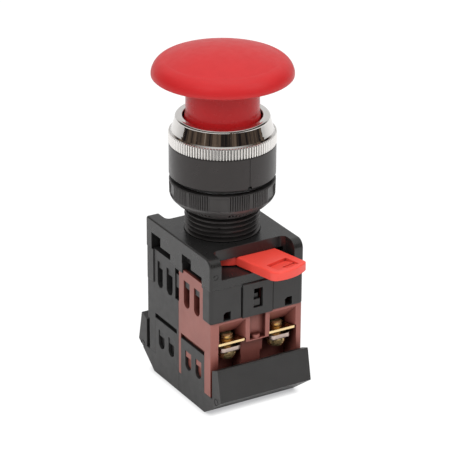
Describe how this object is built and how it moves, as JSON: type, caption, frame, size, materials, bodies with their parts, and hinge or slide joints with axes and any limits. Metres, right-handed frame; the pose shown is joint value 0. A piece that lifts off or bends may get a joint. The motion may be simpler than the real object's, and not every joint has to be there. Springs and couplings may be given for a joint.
{
  "type": "emergency stop button",
  "caption": "Panel-mount emergency stop pushbutton: red mushroom cap on a bezel and threaded barrel with ring nut, over a latched contact base with two contact blocks.",
  "frame": {"origin": "on the button's axis, in the plane of the ring nut's upper face when the nut is fully up", "axes": "+Z along the button's axis towards the operator; -Y is the front of the contact base, where the lock lever and the brown block's terminals are; +X is to the right seen from the front"},
  "size_m": [0.0408, 0.0526, 0.1049],
  "materials": {
    "cap_red": "satin",
    "lever_red": "satin",
    "chrome": "polished",
    "head_black": "satin",
    "nut_black": "satin",
    "base_black": "satin",
    "carrier_black": "satin",
    "cover_black": "satin",
    "block_brown": "satin",
    "block_black": "satin",
    "rubber": "matte",
    "washer_steel": "satin",
    "spring_steel": "polished",
    "inner_white": "satin",
    "plunger_grey": "satin",
    "brass": "satin",
    "bridge_brass": "satin",
    "silver": "satin",
    "screw_zinc": "polished",
    "clamp_zinc": "satin"
  },
  "bodies": {
    "base": {"head_body": "head_black", "bezel_ring": "chrome", "stem_seal": "rubber", "panel_gasket": "rubber", "return_spring": "spring_steel", "detent_wire": "spring_steel", "adapter_housing": "base_black", "contact_carrier": "carrier_black", "nc_block_housing": "block_brown", "no_block_housing": "block_black", "nc_terminal_left": "brass", "nc_terminal_right": "brass", "no_terminal_left": "brass", "no_terminal_right": "brass", "terminal_screws": "screw_zinc", "clamp_washers": "clamp_zinc", "nc_fixed_tips": "silver", "no_fixed_tips": "silver", "nc_return_spring": "spring_steel", "no_return_spring": "spring_steel", "terminal_cover_front": "cover_black", "terminal_cover_rear": "cover_black"},
    "button": {"mushroom_cap": "cap_red", "button_plunger": "inner_white", "plunger_foot": "inner_white"},
    "washer": {"thrust_washer": "washer_steel"},
    "nut": {"ring_nut": "nut_black"},
    "lever": {"lock_lever": "lever_red"},
    "nc_actuator": {"nc_plunger": "plunger_grey", "nc_contact_spring": "spring_steel"},
    "no_actuator": {"no_plunger": "plunger_grey", "no_contact_spring": "spring_steel"},
    "nc_contact": {"nc_bridge": "bridge_brass", "nc_moving_tips": "silver"},
    "no_contact": {"no_bridge": "bridge_brass", "no_moving_tips": "silver"}
  },
  "joints": [
    {"name": "button_push", "type": "slide", "parent": "base", "child": "button", "axis": [0, 0, 1], "range_m": [-0.005, 0], "stiffness_N_per_m": 900, "springref_m": 0.004, "deforming": ["return_spring"]},
    {"name": "nc_plunger_slide", "type": "slide", "parent": "base", "child": "nc_actuator", "axis": [0, 0, 1], "range_m": [-0.005, 0], "deforming": ["nc_return_spring"]},
    {"name": "no_plunger_slide", "type": "slide", "parent": "base", "child": "no_actuator", "axis": [0, 0, 1], "range_m": [-0.005, 0], "deforming": ["no_return_spring"]},
    {"name": "nc_bridge_slide", "type": "slide", "parent": "base", "child": "nc_contact", "axis": [0, 0, 1], "range_m": [-0.004, 0], "deforming": ["nc_contact_spring"]},
    {"name": "no_bridge_slide", "type": "slide", "parent": "base", "child": "no_contact", "axis": [0, 0, 1], "range_m": [-0.004, 0], "deforming": ["no_contact_spring"]},
    {"name": "lock_lever_turn", "type": "hinge", "parent": "base", "child": "lever", "pos_m": [0, 0, -0.02085], "axis": [0, 0, 1], "range_deg": [-28, 0]},
    {"name": "washer_drop", "type": "slide", "parent": "base", "child": "washer", "axis": [0, 0, 1], "range_m": [-0.006, 0]},
    {"name": "ring_nut_turn", "type": "hinge", "parent": "washer", "child": "nut", "pos_m": [0, 0, -0.0037], "axis": [0, 0, 1], "range_deg": [-1440, 0]}
  ],
  "couplings": [
    {"joint": "nc_plunger_slide", "follows": "button_push", "ratio": 1},
    {"joint": "no_plunger_slide", "follows": "button_push", "ratio": 1},
    {"joint": "nc_bridge_slide", "follows": "button_push", "ratio": 0.8},
    {"joint": "no_bridge_slide", "follows": "button_push", "ratio": 0.8},
    {"joint": "washer_drop", "follows": "ring_nut_turn", "m_per_rad": 0.00023873}
  ]
}
